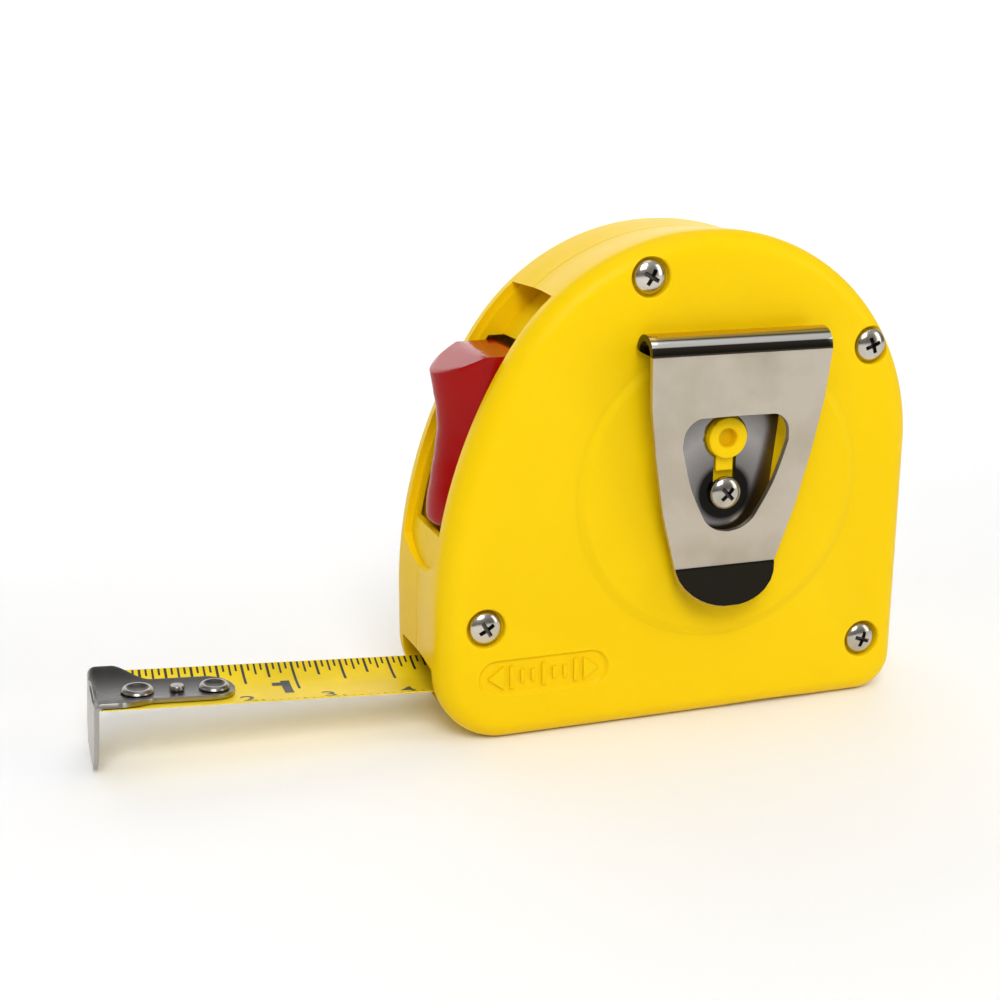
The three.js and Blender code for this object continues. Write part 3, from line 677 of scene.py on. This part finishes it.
# ---- screws ----
def pan_screw(name, at, seat, turn, node, length=CASE_SCREW_LENGTH):
    """A cross-recessed pan head with its shank."""
    h, r = HEAD_HEIGHT, HEAD
    dome = [(r * math.cos(t), seat - h * 0.3 - h * 0.7 * math.sin(t))
            for t in [math.pi / 2 * i / 10 for i in range(10)]]
    profile = [(0, seat - h), *reversed(dome), (r, seat - 0.08), (r - 0.08, seat), (SHANK, seat),
               (SHANK, seat + length - 0.9), (0.4, seat + length - 0.05), (0, seat + length - 0.05)]
    head = lathe(name, profile, at, 48)
    for quarter in (0, math.pi / 2):
        cutter = box_mesh("cross", -1.5, 1.5, -1.0, 0.85, -0.36, 0.36)
        for vertex in cutter.data.vertices:
            vertex.co -= place(0, 0, 0)
            taper = 1 - 0.5 * max(0.0, vertex.co.y / MM + 1) / 1.85
            vertex.co.x *= taper
            vertex.co.z *= taper
        spin = Matrix.Rotation(turn + quarter, 4, "Y")
        shift = Matrix.Translation(place(at[0], seat - h, at[1]))
        cutter.data.transform(shift @ spin)
        cut(head, cutter, smooth=40)
    shade(head, 40)
    head.name = name
    shown(head, "case", NICKEL, "screw_nickel", node)
    # Painted shade: faces deep in the cross recess take the near-black steel.
    head.data.materials.append(RECESS_PAINTED_SHADE)
    for polygon in head.data.polygons:
        spot = (polygon.center - place(at[0], seat, at[1])) / MM
        depth = spot.y + h
        inside_cross = depth < 0.9 and math.hypot(spot.x, spot.z) < 1.55
        if inside_cross and (depth > 0.55 or abs(polygon.normal.y) < 0.35):
            polygon.material_index = 1


def all_screws():
    for k, at in enumerate(SCREWS):
        pan_screw(f"screw_{k + 1}", at, -HALF + BORE_DEPTH - 0.05, 0.5 + 0.7 * k, f"case_screw_{k + 1}")
    seat = span("clip_screw")[0].y + HEAD_HEIGHT
    pan_screw("screw_clip", tuple(spindle), seat, 0.8, "clip_screw", CLIP_SCREW_LENGTH)


# ---- belt clip ----
CLIP_T = 0.8
CLIP_DEPTH = 4.9
BACK_LOW, BACK_ROUND = 25.1, 6.3    # lower end of the back leaf and the radius of that end
BACK_STEP = 38.7                    # height where the back leaf starts to widen
KEYHOLE = 2.9
FOLD_HALF = 11.8
TIP_HALF = 6.8
FOLD_Z = 48.1
CREASE_Z = 21
TIP_Z = 16.2
FLARE = 2.18


def clip_width(z):
    """Half width of the front leaf at a height."""
    if z < CREASE_Z:
        return TIP_HALF * math.sqrt(max(0.0, 1 - ((CREASE_Z - z) / (CREASE_Z - TIP_Z)) ** 2))
    points = [(CREASE_Z, TIP_HALF), (28.2, 8.9), (35.5, 10.4), (41.9, 11.4), (FOLD_Z, FOLD_HALF),
              (60, FOLD_HALF)]
    for (z0, w0), (z1, w1) in zip(points, points[1:]):
        if z <= z1:
            return w0 + (w1 - w0) * (z - z0) / (z1 - z0)
    return points[-1][1]


def leaf(name, path, width_at, across=24):
    """Sheet metal along a path of (y, z) middle points, then given its thickness."""
    rows = []
    for y, z in path:
        w = max(0.25, width_at(z))
        rows.append([(spindle.x + w * (2 * i / across - 1), y, z) for i in range(across + 1)])
    obj = grid(name, rows)
    solidify = obj.modifiers.new("thick", "SOLIDIFY")
    solidify.thickness = CLIP_T * MM
    solidify.offset = 0
    solidify.use_even_offset = True
    return applied(obj)


def belt_clip():
    back_y = span("belt_clip")[1].y
    radius = CLIP_DEPTH / 2
    mid_y = back_y - radius
    t = CLIP_T / 2
    crease_y = back_y - CLIP_T - 0.4 - t
    tip_y = crease_y - FLARE
    bend = arc(mid_y, FOLD_Z, radius - t, 0, math.pi, 30)
    front_low = bend[-1]
    steps = 40
    face = [(front_low[0] + (crease_y - front_low[0]) * i / steps, FOLD_Z + (CREASE_Z - FOLD_Z) * i / steps)
            for i in range(1, steps)]
    curl = [(crease_y + (tip_y - crease_y) * s, CREASE_Z + (TIP_Z + 0.05 - CREASE_Z) * s)
            for s in (0, 0.1, 0.3, 0.5, 0.7, 0.82, 0.9, 0.95, 0.98, 1)]
    front = leaf("front", [*bend[15:], *face, *curl], clip_width)
    window = [(0, 25.5), *[(4.2 * math.sin(a), 29.7 - 4.2 * math.cos(a)) for a in (0.4, 0.8, 1.2)],
              (5.6, 31.7), (6.9, 36.1), (7.05, 37.4), (6.7, 39), (5.4, 40.2), (3.5, 40.35), (0, 40.4)]
    half_window = smooth_curve(window, 5)
    ring = [(spindle.x + x, z) for x, z in half_window]
    ring += [(spindle.x - x, z) for x, z in half_window[-2:0:-1]]
    cut(front, prism_y("window", ring, -30, 0))
    bevelled(front, 0.14, 3, 50, 40)

    def back_width(z):
        if z > FOLD_Z + 0.5:
            return FOLD_HALF
        if z > FOLD_Z - 3:
            return 9 + 2.8 * ease((z - FOLD_Z + 1.5) / 2)
        if z > BACK_STEP:
            return 7.1 + 1.9 * ease((z - BACK_STEP) / (FOLD_Z - 3 - BACK_STEP))
        if z < BACK_LOW + BACK_ROUND:
            return BACK_ROUND * math.sqrt(max(0.0, 1 - ((BACK_LOW + BACK_ROUND - z) / BACK_ROUND) ** 2))
        return BACK_ROUND + 0.8 * (z - BACK_LOW - BACK_ROUND) / (BACK_STEP - BACK_LOW - BACK_ROUND)

    foot = BACK_LOW + 0.05
    back_path = [(back_y - t, foot + (FOLD_Z - foot) * (i / 60) ** 1.4) for i in range(60)]
    back = leaf("back", [*back_path, *bend[:16]], back_width)
    centre = (spindle.x, spindle.y + ANCHOR_RISE)
    hole = lathe("hole", [(KEYHOLE, -30), (KEYHOLE, 0)], centre, 48)
    lane = box_mesh("lane", spindle.x - 1.5, spindle.x + 1.5, -30, 0, spindle.y, centre[1])
    end = lathe("end", [(1.5, -30), (1.5, 0)], tuple(spindle), 32)
    cut(back, hole, lane, end)
    bevelled(back, 0.12, 3, 50, 40)
    front.name = "clip_front_leaf"
    back.name = "clip_back_leaf"
    shown(front, "case", CLIP, "clip_steel", "belt_clip")
    # The back leaf's steel carries painted shade round the screw and under the fold.
    shown(back, "case", BACK_LEAF, "clip_steel", "belt_clip")
    # The fold takes the steel with painted reflections.
    back.data.materials.append(PAINTED_REFLECTION_STEEL)
    for polygon in back.data.polygons:
        if polygon.center.z / MM > FOLD_Z:
            polygon.material_index = 1
    # The fold and the tip's forward faces take the steel with painted reflections.
    front.data.materials.append(PAINTED_REFLECTION_STEEL)
    for polygon in front.data.polygons:
        height = polygon.center.z / MM
        if height > FOLD_Z - 0.1 or (height < CREASE_Z - 0.1 and abs(polygon.normal.y) > 0.8):
            polygon.material_index = 1


# ---- lock ----
LOCK_CROWN = 7.3        # how far the nose of the lock falls back at its sides
LIP = (-9.2, 8.3)       # the lip from the pivot, in x and z
TOP_SLOPE = 0.49
LOCK_TOP = 10.8
THUMB_FOOT = -9.9
AXLE_BORE = 1.3


def thumb_x(z):
    """The hollow front of the lock on its middle line, from the pivot."""
    points = [(-10.7, -9.2), (-9.8, -9.85), (-7.8, -9.7), (-4.6, -9.2), (-1.4, -8.65), (1.4, -8.3),
              (3.8, -8.45), (6.2, -8.85), (LIP[1], LIP[0]), (11.5, -10.1)]
    for (z0, x0), (z1, x1) in zip(points, points[1:]):
        if z <= z1:
            share = (z - z0) / (z1 - z0)
            return x0 + (x1 - x0) * 0.5 * (ease(share) + share)
    return points[-1][1]


def lip_at(back):
    """Where the front, moved back, meets the sloping top."""
    x, z = LIP[0] + back, LIP[1]
    for _ in range(20):
        x = thumb_x(z) + back
        z = min(LOCK_TOP - 0.05, LIP[1] + TOP_SLOPE * (x - LIP[0]))
    return x, z


def lock_button():
    """The rocker: a hollow thumb face on a rounded nose under a flat sloping top."""
    px, pz = pivot.x, pivot.y
    width = SLOT_HALF - 0.4
    under = [(-6.6, -10.7), (-5, -12.8), (-2.5, -13.1), (2.5, -13.1), (3.4, -12), (2.9, -7.6), (1.6, -6),
             (2.3, -2.2), (2.9, 0), (2.4, 2.4), (2, 8), (1.9, 9.9), (1.5, 10.5)]
    rows = []
    steps = 56
    for i in range(steps + 1):
        y = -width * math.cos(math.pi * i / steps)
        across = abs(y) / width
        back = LOCK_CROWN * (1 - math.sqrt(1 - 0.995 * across ** 2)) ** 0.92
        tip_x, tip_z = lip_at(back)
        thumb = []
        for k in range(27):
            z = tip_z - 0.07 + (THUMB_FOOT - tip_z + 0.07) * k / 26
            thumb.append((min(thumb_x(z) + back * (1 if z > -3 else 1 - 0.35 * ease((-3 - z) / 7)), 1.4), z))
        last_x = thumb[-1][0]
        turn = [(last_x + 0.15, -10.4), (last_x + 0.6, -10.7)]
        lower = [(max(under[0][0], last_x + 0.7), under[0][1]), *under[1:]]
        if last_x > under[0][0] - 0.8:
            turn = [(last_x + 0.1, -10.3), (last_x + 0.2, -10.7)]
            lower = [(last_x + 0.3, -10.72), *under[1:]]
        top_back, top_front = 1.0, tip_x + 0.1
        crown = []
        for k in range(13):
            x = top_back + (top_front - top_back) * k / 12
            crown.append((x, min(LOCK_TOP, LIP[1] + TOP_SLOPE * (x - LIP[0]))))
        rows.append([(px + x, y, pz + z) for x, z in [*thumb, *turn, *lower, *crown]])
    body = grid("lock_rocker", rows, True, True, 30)
    for side in (-1, 1):
        y0, y1 = sorted((side * 4.4, side * 12))
        cut(body, box_mesh("shoulder", px - 1.5, px + 10, y0, y1, pz - 20, pz - 6))
    cut(body, lathe("axle", [(AXLE_BORE, -10), (AXLE_BORE, 10)], (px, pz), 32), smooth=30)
    bevelled(body, 0.16, 3, 50, 40)
    body.name = "lock_rocker"
    shown(body, "lock", LOCK, "lock_plastic", "lock_button")


# ---- blade, drawn level from the nose and then tipped ----
def tipped(x, y, z):
    """A point of the blade's own frame in case coordinates."""
    cosine, sine = math.cos(PITCH), math.sin(PITCH)
    return (x * cosine + z * sine, y, BLADE_EDGE - x * sine + z * cosine)


def sag(y):
    return CAMBER * ((y / BLADE_HALF) ** 2 - 1)


def blade_strip():
    start = -BLADE_OUT / math.cos(PITCH) + 0.9
    rows = []
    for i in range(61):
        x = start + (BLADE_TAIL - start) * i / 60
        upper = [(x, BLADE_HALF * (2 * j / 24 - 1)) for j in range(25)]
        ring = [tipped(u, y, sag(y)) for u, y in upper]
        ring += [tipped(u, y, sag(y) - BLADE_T) for u, y in reversed(upper)]
        rows.append(ring)
    strip = grid("blade_strip", rows, True, True, 40)
    shown(strip, "blade_out", ENAMEL, "blade_paint", "blade")


def stroke(bm, x0, x1, y0, y1, steps=5):
    """A printed stroke that follows the blade's hollow top."""
    lift = 0.012
    rows = []
    for k in range(steps + 1):
        y = y0 + (y1 - y0) * k / steps
        rows.append([bm.verts.new(place(*tipped(x, y, sag(y) + lift))) for x in (x0, x1)])
    for a, b in zip(rows, rows[1:]):
        bm.faces.new((a[0], a[1], b[1], b[0]))


def numeral(bm, text, x, y, height, turn, bold=0.0):
    """A printed numeral. x, y is its middle on the blade."""
    curve = bpy.data.curves.new("numeral", "FONT")
    curve.body = text
    curve.size = height / 0.7
    curve.align_x = "CENTER"
    curve.align_y = "CENTER"
    curve.offset = bold
    curve.resolution_u = 4
    holder = bpy.data.objects.new("numeral", curve)
    bpy.context.scene.collection.objects.link(holder)
    depsgraph = bpy.context.evaluated_depsgraph_get()
    mesh = bpy.data.meshes.new_from_object(holder.evaluated_get(depsgraph))
    bpy.data.objects.remove(holder)
    letter = bmesh.new()
    letter.from_mesh(mesh)
    bmesh.ops.triangulate(letter, faces=letter.faces)
    bmesh.ops.subdivide_edges(letter, edges=[e for e in letter.edges if e.calc_length() > 0.5], cuts=2)
    spots = {}
    for vertex in letter.verts:
        u, v = vertex.co.x, vertex.co.y
        px = x + u * math.cos(turn) - v * math.sin(turn)
        py = y + u * math.sin(turn) + v * math.cos(turn)
        spots[vertex] = bm.verts.new(place(*tipped(px, py, sag(py) + 0.013)))
    for face in letter.faces:
        bm.faces.new([spots[v] for v in face.verts])
    letter.free()


def blade_scale():
    """Inches in thirty-seconds on the far edge, centimetres and millimetres on the near edge."""
    bm = bmesh.new()
    lengths = {32: 6.4, 16: 4.9, 8: 4.2, 4: 2.9, 2: 2.1, 1: 1.25}
    for k in range(3, 66):
        at = SCALE_ZERO + INCH * k / 32
        if at > BLADE_TAIL - 1:
            break
        step = max(s for s in lengths if k % s == 0)
        thick = 0.34 if step >= 4 else 0.27
        stroke(bm, at - thick / 2, at + thick / 2, BLADE_HALF - 0.05, BLADE_HALF - 0.05 - lengths[step])
    for k in range(19, 53):
        at = SCALE_ZERO + k
        reach = 2.1 if k % 10 == 0 else 1.5 if k % 5 == 0 else 0.9
        stroke(bm, at - 0.1, at + 0.1, -BLADE_HALF + 0.05, -BLADE_HALF + 0.05 + reach)
    stem = SCALE_ZERO + INCH - 0.9
    stroke(bm, stem - 1.15, stem, 2.4, -1.5)
    stroke(bm, stem - 2.3, stem - 1.15, 2.0, 1.1)
    for k in (2, 3, 4, 5):
        numeral(bm, str(k), SCALE_ZERO + 10 * k - 1.5, -3.5, 2.9, 0, 0.05)
    piece = new_object("blade_scale", bm)
    shown(piece, "blade_out", INK, "blade_paint")


# ---- hook ----
HOOK_T = 0.6
HOOK_SEAT = 0.15
HOOK_LENGTH, HOOK_WIDE, HOOK_TONGUE = 17.2, 3.2, 3.3
HOOK_DROP = 8.28
HOOK_BEND = 0.75
RIVETS = (("front", 5.4, 2.0), ("middle", 10.1, 0.95), ("rear", 14.6, 1.9))    # name, place, head radius


def tape_hook():
    """The hook: a cambered plate, a bend and a leg square to the blade."""
    front = -BLADE_OUT / math.cos(PITCH)
    tip = front + HOOK_LENGTH
    shoulder = front + HOOK_WIDE
    tongue = HOOK_TONGUE
    mid = HOOK_SEAT + HOOK_T / 2

    def half_width(x):
        if x < shoulder:
            return BLADE_HALF
        if x < shoulder + 4.4:
            return tongue + (BLADE_HALF - tongue) * (1 - ease((x - shoulder + 0.4) / 4.6))
        if x > tip - tongue:
            return tongue * math.sqrt(max(0.004, 1 - ((x - tip + tongue) / tongue) ** 2))
        return tongue

    radius = HOOK_BEND
    across = 20
    path = [tip - tongue * (1 - math.cos(math.pi / 2 * i / 12)) for i in range(13)]
    plate_end = front + HOOK_T / 2 + radius
    path += [tip - tongue + (plate_end - tip + tongue) * i / 40 for i in range(1, 41)]
    rows = []
    for x in path:
        w = half_width(x) - 0.02
        rows.append([tipped(x, w * (2 * j / across - 1), sag(w * (2 * j / across - 1)) + mid)
                     for j in range(across + 1)])
    for i in range(1, 9):
        turn = math.pi / 2 * i / 8
        x = plate_end - radius * math.sin(turn)
        row = []
        for j in range(across + 1):
            y = BLADE_HALF * (2 * j / across - 1) * 0.998
            row.append(tipped(x, y, sag(y) * math.cos(turn) + mid - radius * (1 - math.cos(turn))))
        rows.append(row)
    x = plate_end - radius
    for z in (-2, -3.4, -4.8, -5.8, -6.5, -7.1, -7.6, -HOOK_DROP):
        w = BLADE_HALF - 2 * ease((-5.6 - z) / 2.7)
        rows.append([tipped(x, w * (2 * j / across - 1) * 0.998, z) for j in range(across + 1)])
    obj = grid("hook_plate", rows)
    solidify = obj.modifiers.new("thick", "SOLIDIFY")
    solidify.thickness = (HOOK_T - 0.02) * MM
    solidify.offset = 0
    applied(obj)
    bevelled(obj, 0.16, 3, 45, 40)
    shown(obj, "hook", HOOK, "hook_steel", "tape_hook")


def hook_rivets():
    """Domed heads with a sunk ring round each shank."""
    base = -CAMBER + HOOK_SEAT + HOOK_T + 0.2
    for name, along, head in RIVETS:
        sunk = 0.12 if head > 1 else 0.42
        under, tail = -CAMBER - 0.45, -CAMBER - 0.6
        profile = [(0, base + sunk), (head * 0.5, base + sunk), (head * 0.58, base + 0.26 + sunk * 0.3),
                   (head * 0.68, base + 0.42), (head * 0.84, base + 0.40), (head * 0.95, base + 0.2),
                   (head, base), (0.7, base), (0.7, under), (head * 0.8, under), (head * 0.75, tail),
                   (0, tail)]
        bm = bmesh.new()
        turned = []
        count = 40
        for radius, z in profile:
            reach = max(radius, 1e-4)
            turned.append([bm.verts.new(place(*tipped(-BLADE_OUT + along + reach * math.cos(a),
                                                      reach * math.sin(a), z)))
                           for a in [2 * math.pi * i / count for i in range(count)]])
        for a, b in zip(turned, turned[1:]):
            for i in range(count):
                j = (i + 1) % count
                bm.faces.new((a[i], a[j], b[j], b[i]))
        bmesh.ops.remove_doubles(bm, verts=bm.verts, dist=2e-4 * MM)
        rivet = new_object(f"rivet_{name}", bm, 50)
        shown(rivet, "blade_out", RIVET, "hook_steel", f"hook_rivet_{name}")
        # Painted shade: the sunk middle of each large head takes the near-black steel.
        rivet.data.materials.append(RECESS_PAINTED_SHADE)
        middle = place(*tipped(-BLADE_OUT + along, 0, base))
        for polygon in rivet.data.polygons:
            if head > 1 and (polygon.center - middle).length / MM < head * 0.7:
                polygon.material_index = 1


# ---- wound blade and inner pieces ----
COIL_INNER, COIL_TURNS = 12.3, 24


def wound_blade():
    """The coil with the turns of the blade as fine steps on its ends."""
    inner, turns = COIL_INNER, COIL_TURNS
    profile = []
    for side in (-1, 1):
        stations = []
        for k in range(turns):
            r0 = inner + (COIL - inner) * k / turns
            r1 = inner + (COIL - inner) * (k + 0.7) / turns
            r2 = inner + (COIL - inner) * (k + 1) / turns
            stations += [(r0, BLADE_HALF - 0.01), (r1, BLADE_HALF - 0.01), ((r1 + r2) / 2, BLADE_HALF - 0.14)]
        stations.append((COIL, BLADE_HALF - 0.01))
        ring = [(r, side * y) for r, y in stations]
        profile += ring if side < 0 else ring[::-1]
    rows = [[(spindle.x + r * math.cos(a), y, spindle.y + r * math.sin(a)) for r, y in profile]
            for a in [2 * math.pi * i / 96 for i in range(96)]]
    coil = grid("wound_blade", [*rows, rows[0]], True, False, 50)
    merged(coil)
    shade(coil, 50)
    shown(coil, "reel", ENAMEL, "blade_paint", "blade_coil")


def label():
    """A plain film disc with two printed rings."""
    y = span("side_label")[1].y
    base, film = y - 0.3, y - 0.03
    disc = lathe("label_disc", [(0, base), (LABEL - 0.05, base), (LABEL - 0.02, film - 0.05),
                                (LABEL - 0.08, film), (0, film)], spindle, 160)
    shown(disc, "case", FILM, "label_film", "side_label")
    rings = [lathe("ring", [(r, film - 0.01), (r + w, film - 0.01), (r + w, y - 0.005), (r, y - 0.005),
                            (r, film - 0.01)], spindle, 120) for r, w in ((18.6, 0.5), (17.6, 0.2))]
    marks = joined("label_marks", rings)
    shown(marks, "case", INK, "label_film")


KEPT = {
    "spring_arbor": INNER, "power_spring": INNER, "lock_pivot_pin": INNER, "detent_spring": INNER,
    "reel_drum": NYLON, "drum_cover": NYLON, "winding_disc_clip_side": DISC, "winding_disc_plain_side": DISC,
    "blade_feed": ENAMEL, "brake_pad": RUBBER, "mouth_pad": RUBBER,
}


def kept_nodes():
    for name, material in KEPT.items():
        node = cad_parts[name]
        node.data.materials.clear()
        node.data.materials.append(material)


# ---- studio ----
def area_light(name, where, aim, size, power, color=(1, 1, 1)):
    data = bpy.data.lights.new(name, "AREA")
    data.shape = "RECTANGLE"
    data.size, data.size_y = size
    data.energy = power
    data.color = color
    lamp = bpy.data.objects.new(name, data)
    bpy.context.scene.collection.objects.link(lamp)
    lamp.location = where
    lamp.rotation_euler = (Vector(aim) - Vector(where)).to_track_quat("-Z", "Y").to_euler()


def sweep():
    """A pale floor that curves up into a backdrop well behind the object."""
    radius, back, wide = 0.5, 0.75, 3.0
    line = [(-2.5, 0.0), (-0.6, 0.0), (back - radius, 0.0)]
    line += [(back - radius + radius * math.sin(math.pi / 2 * i / 24),
              radius * (1 - math.cos(math.pi / 2 * i / 24))) for i in range(1, 25)]
    line.append((back, 2.2))
    bm = bmesh.new()
    rows = [[bm.verts.new((x, y, z)) for x in (-wide, wide)] for y, z in line]
    for a, b in zip(rows, rows[1:]):
        bm.faces.new((a[0], a[1], b[1], b[0]))
    floor = new_object("floor", bm, 80)
    pale = node_material("floor_paper", (0.94, 0.94, 0.94), 0.75)
    vary_color(pale, noise(pale, 14, 2), (0.935, 0.935, 0.935), (0.945, 0.945, 0.945))
    floor.data.materials.append(pale)


def sky():
    """Bright overhead, dim at the horizon, so that polished metal has something to show."""
    world = bpy.data.worlds.new("studio")
    world.use_nodes = True
    tree = world.node_tree
    where = tree.nodes.new("ShaderNodeTexCoord")
    axes = tree.nodes.new("ShaderNodeSeparateXYZ")
    ramp = tree.nodes.new("ShaderNodeValToRGB")
    ramp.color_ramp.elements[0].position = 0.05
    ramp.color_ramp.elements[0].color = (0.26, 0.26, 0.26, 1)
    ramp.color_ramp.elements[1].position = 0.75
    ramp.color_ramp.elements[1].color = (0.9, 0.9, 0.9, 1)
    tree.links.new(where.outputs["Generated"], axes.inputs["Vector"])
    tree.links.new(axes.outputs["Z"], ramp.inputs["Fac"])
    tree.links.new(ramp.outputs["Color"], tree.nodes["Background"].inputs["Color"])
    tree.nodes["Background"].inputs["Strength"].default_value = 0.55
    bpy.context.scene.world = world


def studio():
    sweep()
    sky()
    centre = (0, 0, 0.03)
    area_light("key", (-0.12, -0.48, 0.46), centre, (0.30, 0.30), 2.4)
    area_light("top", (0.05, 0.0, 0.6), centre, (0.6, 0.35), 0.5)
    area_light("fill", (0.50, -0.35, 0.22), centre, (0.2, 0.4), 0.6)
    area_light("left", (-0.55, 0.05, 0.25), centre, (0.3, 0.3), 0.12)
    area_light("backdrop", (0, 0.32, 0.5), (0, 0.8, 0.22), (1.4, 0.3), 5)


LENS = 54.9
EYE, TARGET = (-0.07895, -0.1764, 0.0788), (-0.02054, 0, 0.02808)


def camera():
    """Set at the photo's angle."""
    bpy.context.scene.view_settings.view_transform = "Standard"
    data = bpy.data.cameras.new("camera")
    data.sensor_width = 36
    data.lens = LENS
    data.clip_start = 0.01
    eye = bpy.data.objects.new("camera", data)
    bpy.context.scene.collection.objects.link(eye)
    eye.location = EYE
    eye.rotation_euler = (Vector(TARGET) - eye.location).to_track_quat("-Z", "Y").to_euler()
    bpy.context.scene.camera = eye


clip_side()
plain_side()
all_screws()
belt_clip()
lock_button()
blade_strip()
blade_scale()
tape_hook()
hook_rivets()
wound_blade()
label()
kept_nodes()
studio()
camera()
